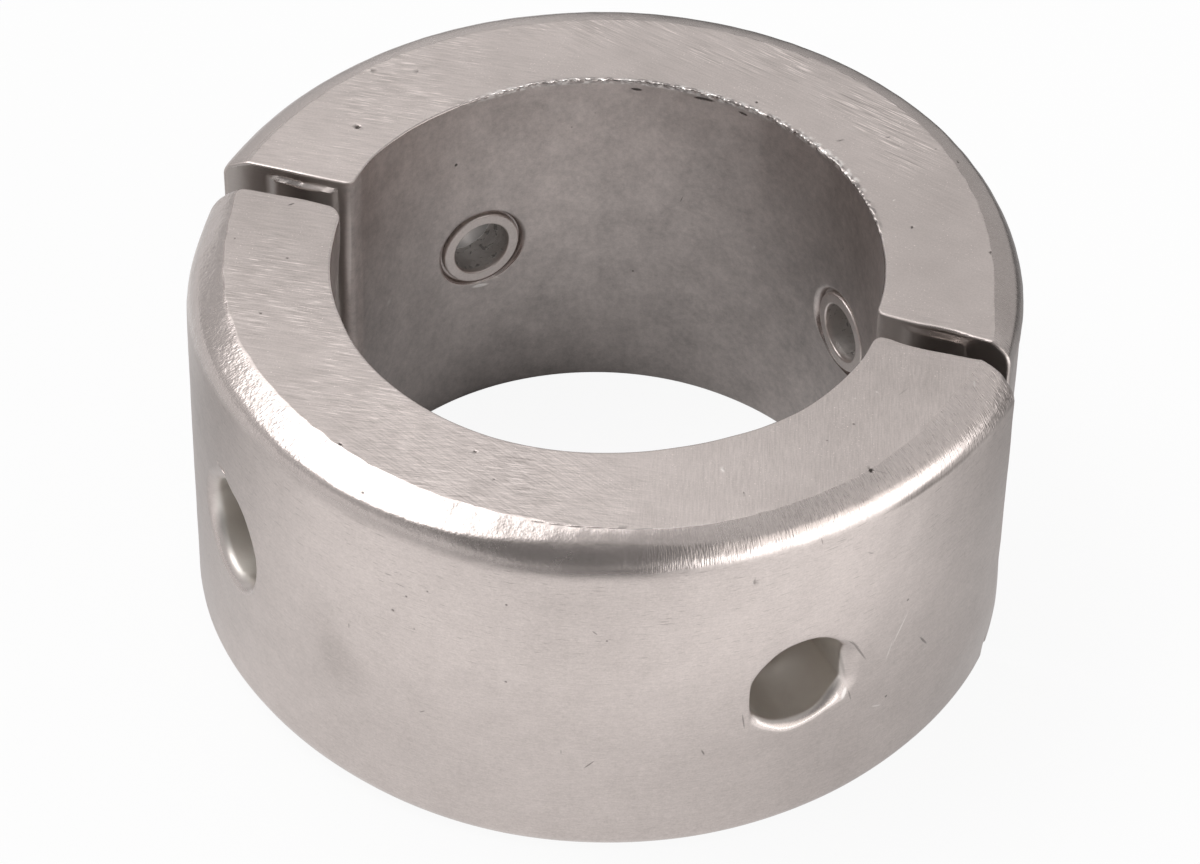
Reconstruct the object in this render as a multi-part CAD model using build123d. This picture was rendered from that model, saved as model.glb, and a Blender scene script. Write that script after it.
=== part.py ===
from build123d import *
import math
import os

os.makedirs("parts", exist_ok=True)

# Split collar anode: two zinc half castings with steel bushes in their screw holes.
# Sizes are in millimetres. The collar stands on its lower end with the bore along +Z.
# It is split along X: the rear half is on the +Y side, the front half on the -Y side.
outer_diameter = 85.0
bore_diameter = 57.0
ring_height = 41.8
top_rounding = 3.3
bottom_rounding = 1.8
bore_top_rounding = 0.3
bore_bottom_rounding = 0.5

# Flat ends of the halves: how far each stands back from the split plane, and how
# round its upright corners are beside the bore and at the outside
end_setback = {"rear_left": 1.6, "rear_right": 1.45, "front_left": 2.05, "front_right": 1.85}
bore_corner = {"rear_left": 0.9, "rear_right": 0.8, "front_left": 1.9, "front_right": 1.0}
outer_corner = 1.1
end_edge_rounding = 0.25

# Stub on each flat end, where the casting's gate was cut off
gate_height = 26.0
gate_below_top = 1.3
gate_from_bore = 1.6
gate_from_outside = 5.6
gate_stands_out = 0.5
gate_corner = 0.9

# Screw holes, a quarter turn apart: a pocket from outside, and a seat that holds a
# bush. Each core was set by hand, so the heights differ.
hole_turn = 1.4
hole_height = {"rear_right": 20.5, "rear_left": 21.1, "front_left": 21.2, "front_right": 19.6}
pocket_diameter = 11.0
pocket_lip = 1.0
pocket_floor_corner = 0.8
flat_left_of_axis = 5.6
flat_right_of_axis = 5.0
seat_thickness = 4.4

# Steel bush cast into the seat, and the groove that the core leaves round its end
bush_bore_diameter = 6.4
bush_wall = 1.25
bush_proud_of_bore = 0.2
bush_edge_rounding = 0.2
groove_width = 0.25
groove_depth = 0.4
groove_flare = 1.0

outer_radius = outer_diameter / 2
bore_radius = bore_diameter / 2
pocket_radius = pocket_diameter / 2
bush_radius = bush_bore_diameter / 2 + bush_wall
floor_radius = bore_radius + seat_thickness
trim = 0.02
far = 2 * outer_diameter

corners = ("rear_right", "rear_left", "front_left", "front_right")
halves = {
    "rear_half": {"left": "rear_left", "right": "rear_right", "side": 1},
    "front_half": {"left": "front_left", "right": "front_right", "side": -1},
}


def ring():
    # Whole collar: one section turned round the bore
    section = Plane.XZ * Rectangle(outer_radius - bore_radius, ring_height, align=Align.MIN)
    section = Pos(bore_radius, 0, 0) * section
    for x, z, rounding in (
        (outer_radius, ring_height, top_rounding),
        (outer_radius, 0, bottom_rounding),
        (bore_radius, ring_height, bore_top_rounding),
        (bore_radius, 0, bore_bottom_rounding),
    ):
        corner = section.vertices().sort_by_distance((x, 0, z))[0]
        section = fillet(corner, rounding)
    return revolve(section, Axis.Z)


def plan(half):
    # Outline of a half from above, a hair larger than the ring that trims it
    side = half["side"]
    ends = ((half["left"], -1), (half["right"], 1))
    area = Sketch()
    for corner, direction in ends:
        centre = Pos(direction * far / 2, side * (far / 2 + end_setback[corner]))
        area += centre * Rectangle(far, far)
    outline = (Circle(outer_radius + trim) - Circle(bore_radius - trim)) & area
    for corner, direction in ends:
        y = side * end_setback[corner]
        for radius, rounding in (
            (bore_radius - trim, bore_corner[corner]),
            (outer_radius + trim, outer_corner),
        ):
            x = direction * math.sqrt(radius**2 - y**2)
            vertex = outline.vertices().sort_by_distance((x, y, 0))[0]
            outline = fillet(vertex, rounding)
    return outline


def end_edges(casting):
    # Edges of the flat ends where they meet the collar's upper and lower faces
    near_split = max(end_setback.values()) + max(bore_corner.values())
    chosen = ShapeList()
    for edge in casting.edges():
        box = edge.bounding_box()
        level = box.max.Z - box.min.Z < trim
        on_a_face = box.min.Z > ring_height - trim or box.max.Z < trim
        if level and on_a_face and max(abs(box.min.Y), abs(box.max.Y)) < near_split:
            chosen.append(edge)
    return chosen


def gate_stub(corner, half):
    # Flat block on one end face, with rounded corners, sunk into the casting behind it
    side = half["side"]
    direction = -1 if corner == half["left"] else 1
    width = outer_radius - bore_radius - gate_from_bore - gate_from_outside
    x = direction * (bore_radius + gate_from_bore + width / 2)
    z = ring_height - gate_below_top - gate_height / 2
    block = Box(width, 2 * gate_stands_out, gate_height)
    block = fillet(block.edges().filter_by(Axis.Y), gate_corner)
    return Pos(x, side * end_setback[corner], z) * block


def hole_plane(corner):
    # Origin on the axis of the bore, z out along the hole and y up
    angle = math.radians(45 + hole_turn + 90 * corners.index(corner))
    across = (-math.sin(angle), math.cos(angle), 0)
    outward = (math.cos(angle), math.sin(angle), 0)
    return Plane(origin=(0, 0, hole_height[corner]), x_dir=across, z_dir=outward)


def pocket_cut(casting, corner):
    # What is cut out for a pocket with a rounded lip, between two upright flats
    plane = hole_plane(corner)
    core = Pos(0, 0, floor_radius) * extrude(Circle(pocket_radius), outer_radius)
    core = plane * fillet(core.edges().sort_by(Axis.Z)[0], pocket_floor_corner)
    bored = casting - core
    lip = new_edges(casting, core, combined=bored)
    rounded = fillet(lip, pocket_lip)
    width = flat_left_of_axis + flat_right_of_axis
    middle = (flat_right_of_axis - flat_left_of_axis) / 2
    slab = plane * Pos(middle, 0, 0) * Box(width, far, far)
    return (casting - rounded) & slab


def seat_cut(corner):
    # Round seat for the bush, and the flared groove round its end in the bore
    seat = Pos(0, 0, bore_radius / 2) * extrude(Circle(bush_radius), outer_radius)
    groove_floor = bore_radius + groove_depth
    inner = bush_radius + groove_width
    depth = groove_depth + bush_proud_of_bore + 1
    flare = inner + groove_flare
    groove = Cone(flare, inner, depth, align=(Align.CENTER, Align.CENTER, Align.MAX))
    return hole_plane(corner) * (seat + Pos(0, 0, groove_floor) * groove)


def casting(half):
    body = ring() & extrude(plan(half), far, both=True)
    body = fillet(end_edges(body), end_edge_rounding)
    held = (half["left"], half["right"])
    cuts = [pocket_cut(body, corner) for corner in held]
    for corner, cut in zip(held, cuts):
        body += gate_stub(corner, half)
        body -= cut
        body -= seat_cut(corner)
    return body


def bush(corner):
    # Short tube from just inside the bore out to the floor of the pocket
    length = seat_thickness + bush_proud_of_bore
    tube = extrude(Circle(bush_radius) - Circle(bush_bore_diameter / 2), length)
    tube = fillet(tube.edges().filter_by(GeomType.CIRCLE), bush_edge_rounding)
    return hole_plane(corner) * Pos(0, 0, bore_radius - bush_proud_of_bore) * tube


for name, half in halves.items():
    export_step(casting(half), f"parts/{name}.step")
for corner in corners:
    export_step(bush(corner), f"parts/bush_{corner}.step")
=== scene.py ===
import math

import bmesh
import bpy
import numpy as np
from mathutils import Matrix, Vector


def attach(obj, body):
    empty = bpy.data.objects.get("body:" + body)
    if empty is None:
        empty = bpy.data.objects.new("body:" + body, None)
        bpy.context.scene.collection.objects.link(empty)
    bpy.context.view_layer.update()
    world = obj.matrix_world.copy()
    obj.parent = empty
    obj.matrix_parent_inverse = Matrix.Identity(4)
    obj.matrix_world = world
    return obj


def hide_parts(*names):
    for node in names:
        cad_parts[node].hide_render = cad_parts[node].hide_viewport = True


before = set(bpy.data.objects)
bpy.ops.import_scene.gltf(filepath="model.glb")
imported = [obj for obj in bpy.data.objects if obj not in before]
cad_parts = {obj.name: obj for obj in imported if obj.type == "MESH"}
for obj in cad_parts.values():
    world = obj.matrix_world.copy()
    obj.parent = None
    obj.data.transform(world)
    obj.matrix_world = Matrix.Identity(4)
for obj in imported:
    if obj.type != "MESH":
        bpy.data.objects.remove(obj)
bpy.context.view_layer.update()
scene = bpy.context.scene
mm = 0.001

# Castings: sizes in millimetres, angles in degrees round the bore, from the split on the right
collar = {
    "wallRadius": 42.5,
    "boreRadius": 28.5,
    "height": 41.8,
    "boreTopRounding": 0.22,
    "boreBottomRounding": 0.5,
    "endEdgeRounding": 0.25,
    "endColumns": [0, 0.03, 0.08, 0.15, 0.25, 0.4, 0.6, 0.85, 1.15, 1.5, 1.95, 2.45],  # mesh columns near an end
    "columnWidth": 0.46,  # the other mesh columns, measured at the outside
    "faceLines": 27,  # mesh lines across the flat of the upper face
    "arcSteps": 20,  # mesh steps over the upper outer rounding
    "wallRows": 68,  # mesh rows on the straight of the outer wall
    "fineRows": 8,  # rows close under the bore's upper edge
    "fineRow": 0.18,  # and their height
}

# Upper outer edge, filed by hand: azimuth, reach inwards from the wall, where the flat filed band ends
# (out, down), and how far down the turn into the wall goes
filedEdge = [
    (0, 2.6, 1.6, 0.7, 3.6), (13, 3.4, 2.25, 0.9, 3.8), (25, 3.5, 2.25, 1, 3.9), (39, 3.3, 2.15, 0.9, 3.8),
    (54, 3.1, 2.05, 0.8, 3.5), (72, 3.3, 2.05, 0.7, 3.2), (95, 3.5, 2.15, 0.7, 3.2), (107, 3.6, 2.05, 0.6, 3),
    (117, 3.9, 2.15, 0.6, 2.9), (135, 3.6, 2.15, 0.7, 3.1), (152, 3.4, 2.05, 0.8, 3.2), (165, 3.3, 2.05, 0.8, 3),
    (173, 3, 1.8, 0.7, 2.7), (179, 2.9, 2.5, 1, 2), (183, 3.4, 2.2, 1.9, 6), (192, 3.9, 2.4, 2.1, 6.2),
    (204, 4, 2.7, 2.1, 5.6), (212, 3.9, 2.9, 1.6, 5), (220, 4, 3, 1.25, 4.6), (230, 4.15, 3.1, 1.2, 4.4),
    (240, 4.3, 3.45, 1.4, 4.3), (250, 4.3, 3.55, 1.45, 4.3), (260, 4.25, 3.45, 1.4, 4.3), (270, 4.1, 3.1, 1.2, 4.2),
    (280, 3.8, 2, 0.7, 4.2), (290, 3.4, 1.3, 0.5, 4.2), (300, 3, 1.7, 0.85, 4.3), (310, 2.95, 2, 1.2, 4.4),
    (320, 2.95, 2.1, 1.4, 4.5), (330, 2.9, 2.2, 1.5, 4.4), (340, 3.1, 2.5, 1.8, 4.6), (350, 3.3, 2.75, 2.3, 5.4),
    (357, 2.4, 1.9, 1.9, 6), (360, 2, 1.6, 1.7, 6),
]

# How far the upper edge of the bore stands from its circle, by azimuth
boreDrift = [
    (0, -0.5), (14, -0.45), (30, -0.35), (46, -0.25), (62, -0.22), (74, 0), (86, -0.08), (110, 0.1), (122, 0.22),
    (134, 0), (166, 0.1), (176, -0.2), (179.9, -0.2), (180, -0.75), (194, -0.78), (206, -0.55), (218, -0.4),
    (230, -0.08), (242, 0.05), (254, 0.2), (266, 0.3), (278, 0.2), (290, 0.05), (302, -0.05), (314, 0.1),
    (320, 0.35), (330, 0.6), (350, 0.55), (359.9, 0.3),
]

# Flat ends: how far each stands from the split plane, by radius
endProfile = {
    "rear_right": [(28, 1.56), (30.1, 1.38), (32.5, 1.31), (34.6, 1.5), (36.1, 1.52), (38.2, 1.3),
                   (40.3, 1.15), (42.5, 1)],
    "rear_left": [(28, 1.84), (31.7, 1.63), (35.7, 1.5), (39.7, 1.3), (42.5, 1.3)],
    "front_left": [(28, 2.15), (30.2, 2.02), (32.5, 1.96), (35.1, 2.19), (37.3, 2.35), (38.9, 2.5), (42.5, 2.5)],
    "front_right": [(28, 1.75), (30.1, 1.66), (31.1, 1.9), (32.6, 1.97), (34.4, 1.95), (37.6, 1.71),
                    (38.8, 1.68), (40.5, 1.35), (42.5, 0.8)],
}
boreCorner = {"rear_left": 0.9, "rear_right": 0.8, "front_left": 1.9, "front_right": 1}
outerCorner = {"rear_left": 0.4, "rear_right": 0.4, "front_left": 1.1, "front_right": 0.4}

# Lower outer edge and the wall's own swelling, by azimuth
lowerEdge = [(0, 0.35), (30, 0.5), (60, 1.5), (120, 1.8), (180, 1.9), (205, 2), (220, 2.4), (238, 2.9),
             (252, 2.8), (266, 2.2), (280, 1.9), (300, 1.8), (318, 2), (333, 2.1), (345, 1.7), (354, 1), (360, 0.35)]
swelling = [(0, -0.3), (20, -0.3), (40, 0), (205, 0), (225, -0.1), (240, -0.2), (255, -0.1), (270, -0.05),
            (300, -0.15), (318, -0.15), (333, 0.02), (345, 0.35), (354, 0.75), (359.9, 0.95), (360, -0.3)]

# Gate stub on each end: inner and outer radius, bottom and top, how far it stands out, droop of its top
gateStub = {
    "rear_right": (31.5, 38, 15, 41.1, 0.3, 0.2),
    "rear_left": (30.2, 36.9, 14.5, 40.7, 0.5, 0.15),
    "front_left": (30.1, 36.9, 14.5, 40.5, 0.5, 0.3),
    "front_right": (30.1, 36.9, 14.5, 40.5, 0.5, 0.3),
}

# Screw holes: upright flats left and right of the axis trim the pocket's lip
screwHole = {
    "rear_right": {"azimuth": 46.4, "height": 20.5, "flats": (5.6, 5), "lip": 1},
    "rear_left": {"azimuth": 136.4, "height": 21.1, "flats": (5.6, 5), "lip": 1},
    "front_left": {"azimuth": 226.4, "height": 21.2, "flats": (9, 6.2), "lip": 1.5},
    "front_right": {"azimuth": 316.4, "height": 19.6, "flats": (5.6, 5), "lip": 1.1},
}
pocket = {
    "radius": 5.5,
    "floorCorner": 0.8,
    "floorAt": 32.9,  # distance of the floor from the collar's axis
    "seatRadius": 4.45,
    "grooveAt": 28.9,
    "grooveRadius": 4.68,
    "mouthRadius": 5,
    "halfAngle": 12.5,  # part of the wall remade round a hole
    "halfRows": 16,
}


def cosine(degrees):
    return math.cos(math.radians(degrees))


def smooth(x, low, high):  # 0 at low, 1 at high, either way round
    t = np.clip((np.asarray(x, float) - low) / (high - low), 0, 1)
    return t * t * (3 - 2 * t)


def lookUp(x, points, spread=0, period=None):  # along straight lines, averaged over the spread
    xs, ys = [p[0] for p in points], [p[1] for p in points]
    x = np.asarray(x, float)
    return sum(np.interp(x + s * spread, xs, ys, period=period) for s in (-1, -0.5, 0, 0.5, 1)) / 5


def apart(azimuth, centre):  # angle between two azimuths, 0 to 180
    return np.abs((np.asarray(azimuth, float) - centre + 180) % 360 - 180)


class Waves:
    # Smooth seeded unevenness over points in millimetres, mostly between -1 and 1
    def __init__(self, seed, wavelength, count=28):
        draw = np.random.default_rng(seed)
        way = draw.normal(size=(count, 3))
        way /= np.linalg.norm(way, axis=1)[:, None]
        self.way = way * (2 * np.pi / wavelength) * draw.uniform(0.6, 1.6, size=(count, 1))
        self.shift = draw.uniform(0, 2 * np.pi, count)

    def __call__(self, points):
        return np.sin(points @ self.way.T + self.shift).sum(-1) / math.sqrt(len(self.shift))


slowWaves, midWaves, quickWaves = Waves(11, 24), Waves(12, 8), Waves(13, 3.2)
fineWaves, burrWaves, raggedWaves = Waves(14, 1.5), Waves(15, 0.9, 40), Waves(16, 2.4)


def edgeSizes(azimuth):  # reach, end of the band and drop of the filed edge
    sizes = [float(lookUp(azimuth, [(row[0], row[n]) for row in filedEdge], 3, 360)) for n in (1, 2, 3, 4)]
    a, radius = math.radians(azimuth), 38.5  # the band's inner edge lies near this radius
    ragged = 0.03 + 0.04 * float(smooth(apart(azimuth, 260), 50, 25))
    step = ragged * float(raggedWaves(np.array([radius * math.cos(a), radius * math.sin(a), collar["height"]])))
    return [sizes[0] + step, sizes[1] + step] + sizes[2:]


def edgeCurve(azimuth, steps):
    # Filed edge as distances out and down from where it leaves the upper face: a near flat band, then the
    # turn, as four arcs through the joints between the guide's points
    reach, bandOut, bandDown, drop = edgeSizes(azimuth)
    slope = 0.45 * bandDown / (0.5 * bandOut + 0.1)
    crease = 0.26 - 0.16 * float(smooth(apart(azimuth, 205), 45, 25))
    guide = np.array([(0, 0), (0.3, crease * slope), (0.5 * bandOut + 0.1, 0.45 * bandDown), (bandOut, bandDown),
                      (reach, bandDown + 0.46 * (drop - bandDown)), (reach, drop)])
    share = np.array([[0.5], [0.75], [0.2]])
    joints = np.concatenate([guide[:1], guide[1:-2] + (guide[2:-1] - guide[1:-2]) * share, guide[-1:]])
    arcPoints, turnSteps, lowSteps = 24, 4, 7
    t = np.linspace(0, 1, arcPoints, endpoint=False)[:, None]
    arcs = [(1 - t) ** 2 * a + 2 * t * (1 - t) * b + t * t * c
            for a, b, c in zip(joints[:-1], guide[1:-1], joints[1:])]
    curve = np.concatenate(arcs + [guide[-1:]])
    length = np.concatenate([[0], np.cumsum(np.hypot(*np.diff(curve, axis=0).T))])
    turn, after = length[2 * arcPoints], length[3 * arcPoints]
    keep = np.concatenate([[0], np.linspace(0.06, turn, steps - turnSteps - lowSteps),
                           np.linspace(turn, after, turnSteps + 1)[1:],
                           np.linspace(after, length[-1], lowSteps + 1)[1:]])
    return np.interp(keep, length, curve[:, 0]), np.interp(keep, length, curve[:, 1]), reach, drop


def turnedHalf(steps, radius):  # half of a quarter turn, as distances from the two walls it joins
    angle = np.linspace(0, math.pi / 4, steps + 1)
    return radius * (1 - np.cos(angle)), radius * (1 - np.sin(angle))


def line(rho, z):  # points of a section; either may be one number
    return np.stack(np.broadcast_arrays(rho, z), 1)


class Casting:
    # One half collar as a closed mesh. The local frame has the split along X and the metal on +Y.
    def __init__(self, turn, corners):
        self.turn, self.corners = turn, corners
        self.points, self.faces, self.count = [], [], 0
        self.makeRing()
        for end in (0, 1):
            self.makeEnd(end)
        for corner in corners:
            self.makeHole(corner)

    def add(self, points):  # local points, returns their numbers
        points = np.asarray(points, float).reshape(-1, 3)
        self.points.append(points)
        self.count += len(points)
        return np.arange(self.count - len(points), self.count)

    def setback(self, end, rho):
        return lookUp(rho, endProfile[self.corners[end]], 0.5)

    def makeRing(self):
        c = collar
        fine = np.array(c["endColumns"])
        self.middle = (c["wallRadius"] + c["boreRadius"]) / 2
        self.starts = [math.asin(float(self.setback(end, self.middle)) / self.middle) for end in (0, 1)]
        self.length = self.middle * (math.pi - sum(self.starts))
        steps = int((self.length - 2 * fine[-1]) * c["wallRadius"] / self.middle / c["columnWidth"])
        body = np.linspace(fine[-1], self.length - fine[-1], steps + 1)[1:-1]
        self.along = np.concatenate([fine, body, self.length - fine[::-1]])
        sections = [self.section(d) for d in self.along]
        self.faceCount, self.wallCount = len(sections[0][0]) - 1, len(sections[0][1]) - 1
        loops = []
        for d, (top, outer, bottom, inner) in zip(self.along, sections):
            loop = np.concatenate([top, outer[1:], bottom[::-1][1:], inner[::-1][1:-1]])
            loops.append(self.place(d, loop[:, 0], loop[:, 1]))
        self.sections = sections
        loops = np.array(loops)
        self.grid = self.add(loops).reshape(loops.shape[:2])
        self.patches = {corner: self.patch(corner) for corner in self.corners}
        size = self.grid.shape[1]
        blocked = np.zeros((self.grid.shape[0] - 1, size), bool)
        for first, last, rows in self.patches.values():
            for wall, (high, low) in rows.items():
                for k in range(high, low):
                    blocked[first:last, self.lineOf(wall, k + 1 if wall == "inner" else k)] = True
        for i in range(len(self.grid) - 1):
            for n in np.flatnonzero(~blocked[i]):
                after = (n + 1) % size
                low, high = self.grid[i], self.grid[i + 1]
                self.faces.append((low[n], high[n], high[after], low[after]))

    def lineOf(self, side, n):  # number on a section's loop of the nth point of a side
        m, k = self.faceCount, self.wallCount
        start = {"top": n, "outer": m + n, "bottom": 2 * m + k - n, "inner": 2 * m + 2 * k - n}[side]
        return start % (2 * m + 2 * k)

    def place(self, d, rho, z):  # local points of a column, d along the middle circle from the first end
        rho, z = np.asarray(rho, float), np.asarray(z, float)
        near = [1 - float(smooth(d, 3, 16)), 1 - float(smooth(self.length - d, 3, 16))]
        plain = self.starts[0] + (math.pi - sum(self.starts)) * d / self.length
        fromStart = np.arcsin(np.clip((self.setback(0, rho) + d) / rho, -1, 1))
        fromEnd = math.pi - np.arcsin(np.clip((self.setback(1, rho) + self.length - d) / rho, -1, 1))
        angle = near[0] * fromStart + near[1] * fromEnd + (1 - sum(near)) * plain
        return np.stack([rho * np.cos(angle), rho * np.sin(angle), z], -1)

    def section(self, d):
        # Four sides of a column as (rho, z): upper and lower face from the bore out, walls from the top down
        c = collar
        corner = self.corners[0 if d < self.length / 2 else 1]
        gap = min(d, self.length - d)

        def inset(radius):
            return radius - math.sqrt(radius ** 2 - max(radius - gap, 0) ** 2)

        azimuth = self.turn + math.degrees(self.starts[0]) + math.degrees(d / self.middle)
        inner = c["boreRadius"] + inset(boreCorner[corner])
        outer = c["wallRadius"] - inset(outerCorner[corner])
        top, low = c["height"] - inset(c["endEdgeRounding"]), inset(c["endEdgeRounding"])
        out, down, reach, drop = edgeCurve(azimuth, c["arcSteps"])
        arc = line(outer - reach + out, top - down)
        half = c["arcSteps"] // 2
        radius = c["boreTopRounding"]
        near, far = turnedHalf(2, radius)
        share = np.concatenate([[0, 0.012, 0.026, 0.042, 0.062], np.linspace(0.09, 0.994, c["faceLines"] - 6), [1]])
        flat = inner + radius + (outer - reach - inner - radius) * share
        face = np.concatenate([line(inner + far[::-1], top - near[::-1]), line(flat[1:], top), arc[1:half + 1]])
        bottom = float(lookUp(azimuth, lowerEdge, 4, 360))
        rows = np.linspace(top - drop, low + bottom, c["wallRows"] + 1)
        near, far = turnedHalf(4, bottom)
        outside = np.concatenate([arc[half:], line(outer, rows[1:]), line(outer - near, low + far)[1:]])
        faceSteps, wallSteps = len(face) - 1, len(outside) - 1
        radiusLow = c["boreBottomRounding"]
        nearBore, farBore = turnedHalf(2, radiusLow)
        flat = np.linspace(inner + radiusLow, outer - bottom, faceSteps - 6 + 1)
        under = np.concatenate([line(inner + farBore[::-1], low + nearBore[::-1]), line(flat[1:], low),
                                line(outer - far, low + near)[1:]])
        nearTop, farTop = turnedHalf(2, radius)
        fineRows = c["fineRows"]
        plain = wallSteps - 4 - fineRows
        start = top - radius - fineRows * c["fineRow"]
        rows = np.concatenate([top - radius - c["fineRow"] * np.arange(fineRows),
                               np.linspace(start, low + radiusLow, plain + 1)])
        bore = np.concatenate([line(inner + nearTop[::-1], top - farTop[::-1]), line(inner, rows[1:]),
                               line(inner + nearBore, low + farBore)[1:]])
        return face, outside, under, bore

    def makeEnd(self, end):
        # Cap over the end: lines between the four sides of its first section
        column = 0 if end == 0 else len(self.along) - 1
        top, outer, bottom, inner = self.sections[column]
        m, k = self.faceCount, self.wallCount
        u = ((top[:, 0] - top[0, 0]) / (top[-1, 0] - top[0, 0]))[:, None, None]
        v = ((inner[:, 1] - inner[0, 1]) / (inner[-1, 1] - inner[0, 1]))[None, :, None]
        sheet = (1 - v) * top[:, None] + v * bottom[:, None] + (1 - u) * inner[None] + u * outer[None]
        sheet -= (1 - u) * (1 - v) * top[0] + u * (1 - v) * top[-1] + (1 - u) * v * bottom[0] + u * v * bottom[-1]
        rho, z = sheet[..., 0], sheet[..., 1]
        near, far, low, high, proud, droop = gateStub[self.corners[end]]
        middle = (near + far) / 2
        high = high - droop * np.cos((rho - middle) / (far - near) * math.pi) ** 2
        outside = np.maximum(np.maximum(near - rho, rho - far), np.maximum(low - z, z - high))
        stands = proud * (1 - smooth(outside, -0.2, 0.22))
        y = self.setback(end, rho) - stands
        x = np.sqrt(rho ** 2 - self.setback(end, rho) ** 2) * (1 if end == 0 else -1)
        inside = np.stack([x, y, z], -1)[1:m, 1:k]
        numbers = np.zeros((m + 1, k + 1), int)
        numbers[1:m, 1:k] = self.add(inside).reshape(m - 1, k - 1)
        row = self.grid[column]
        for n in range(m + 1):
            numbers[n, 0], numbers[n, k] = row[self.lineOf("top", n)], row[self.lineOf("bottom", n)]
        for n in range(k + 1):
            numbers[0, n], numbers[m, n] = row[self.lineOf("inner", n)], row[self.lineOf("outer", n)]
        for a in range(m):
            for b in range(k):
                self.faces.append((numbers[a, b], numbers[a + 1, b], numbers[a + 1, b + 1], numbers[a, b + 1]))

    def patch(self, corner):  # block of columns and rows that a hole takes from each wall
        hole = screwHole[corner]
        local = math.radians(hole["azimuth"] - self.turn)
        grid = self.points[0].reshape(*self.grid.shape, 3)
        onWall = self.faceCount + 40  # a line well down the wall
        angles = np.array([math.atan2(*grid[i, onWall, 1::-1]) for i in range(len(grid))])
        centre = int(np.argmin(np.abs(angles - local)))
        reach = int(round(math.radians(pocket["halfAngle"]) / (angles[centre + 1] - angles[centre])))
        rows = {}
        for wall, side in (("outer", 1), ("inner", 3)):
            heights = self.sections[centre][side][:, 1]
            row = int(np.argmin(np.abs(heights - hole["height"])))
            rows[wall] = (row - pocket["halfRows"], row + pocket["halfRows"])
        return centre - reach, centre + reach, rows

    def rim(self, corner, wall):  # numbers of the grid points round the block, from its lower left
        first, last, rows = self.patches[corner]
        high, low = rows[wall]
        path = [(i, low) for i in range(first, last)] + [(last, k) for k in range(low, high, -1)]
        path += [(i, high) for i in range(last, first, -1)] + [(first, k) for k in range(high, low)]
        return np.array([self.grid[i, self.lineOf(wall, k)] for i, k in path])

    def makeHole(self, corner):
        hole, p = screwHole[corner], pocket
        first, last, rows = self.patches[corner]
        across, upright = last - first, rows["outer"][1] - rows["outer"][0]
        phi = np.radians(np.concatenate([start + 90 * np.arange(count) / count for start, count in
                                         ((225, across), (315, upright), (45, across), (135, upright))]))
        angle = math.radians(hole["azimuth"] - self.turn)
        axis = np.array([math.cos(angle), math.sin(angle), 0])
        side = np.array([-math.sin(angle), math.cos(angle), 0])
        cosPhi, sinPhi = np.cos(phi), np.sin(phi)
        turned = np.degrees(phi)
        flatLeft, flatRight = hole["flats"]
        limit = np.where(cosPhi > 1e-6, flatRight / np.maximum(cosPhi, 1e-6), flatLeft / np.maximum(-cosPhi, 1e-6))
        outer, bore = collar["wallRadius"], collar["boreRadius"]

        def ringAt(radius, axial):  # radius and axial distance can differ round the ring
            radius, axial = np.broadcast_to(radius, phi.shape), np.broadcast_to(axial, phi.shape)
            level = axial[:, None] * axis + (radius * cosPhi)[:, None] * side
            return level + (hole["height"] + radius * sinPhi)[:, None] * np.array([0, 0, 1])

        def surfaceRing(radius, wall):  # on a wall of that radius
            return ringAt(radius, np.sqrt(wall ** 2 - (radius * cosPhi) ** 2))

        def between(one, two, share, wall):  # a ring between two on the same wall
            mixed = one + (two - one) * share
            flat = np.hypot(mixed[:, 0], mixed[:, 1])
            mixed[:, :2] *= (wall / flat)[:, None]
            return mixed

        allPoints = np.concatenate(self.points)
        outerRim, innerRim = self.rim(corner, "outer"), self.rim(corner, "inner")
        wobble = Waves(31 + sorted(screwHole).index(corner), 5.5)
        uneven = wobble(ringAt(6, outer))
        lip = hole["lip"] * (1 + 0.12 * uneven)
        edge = np.minimum(p["radius"] + lip, limit)
        wallRadius = np.minimum(p["radius"] * (1 + 0.004 * uneven), limit)
        if corner == "front_right":  # sharp above, with a facet on the right
            lip = lip * (0.3 + 0.7 * smooth(apart(turned, 105), 65, 120))
            edge = np.minimum(p["radius"] + lip, limit) + 2 * smooth(apart(turned, -8), 52, 12)
            lip = np.maximum(lip, smooth(apart(turned, -8), 60, 20))
        if corner == "front_left":  # no lip on its right and a pointed one on top
            lip = lip * (0.18 + 0.82 * smooth(apart(turned, 5), 15, 80)) + 0.9 * smooth(apart(turned, 102), 24, 0)
            edge = np.minimum(p["radius"] + lip, limit)
        rings = [outerRim]
        lipRing = surfaceRing(edge, outer)
        for share in (0.13, 0.27, 0.41, 0.55, 0.68, 0.79, 0.88, 0.95):
            rings.append(self.add(between(allPoints[outerRim], lipRing, share, outer)))
        start = np.sqrt(outer ** 2 - (edge * cosPhi) ** 2)
        top = np.sqrt(outer ** 2 - (wallRadius * cosPhi) ** 2) - lip
        for turn in np.linspace(0, math.pi / 2, 10):
            rings.append(self.add(ringAt(wallRadius + (edge - wallRadius) * (1 - math.sin(turn)),
                                         start + (top - start) * (1 - math.cos(turn)))))
        bottom = p["floorAt"] + p["floorCorner"]
        for share in np.linspace(0, 1, 8)[1:]:
            rings.append(self.add(ringAt(wallRadius, top + (bottom - top) * share)))
        for turn in np.linspace(0, math.pi / 2, 6)[1:]:
            inwards = p["floorCorner"] * (1 - math.cos(turn)) * wallRadius / p["radius"]
            rings.append(self.add(ringAt(wallRadius - inwards, bottom - p["floorCorner"] * math.sin(turn))))
        for share in (0.5, 1):
            radius = wallRadius * (1 - p["floorCorner"] / p["radius"])
            rings.append(self.add(ringAt(radius + (p["seatRadius"] - radius) * share, p["floorAt"])))
        for share in (0.33, 0.67, 1):
            rings.append(self.add(ringAt(p["seatRadius"], p["floorAt"] + (p["grooveAt"] - p["floorAt"]) * share)))
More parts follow.
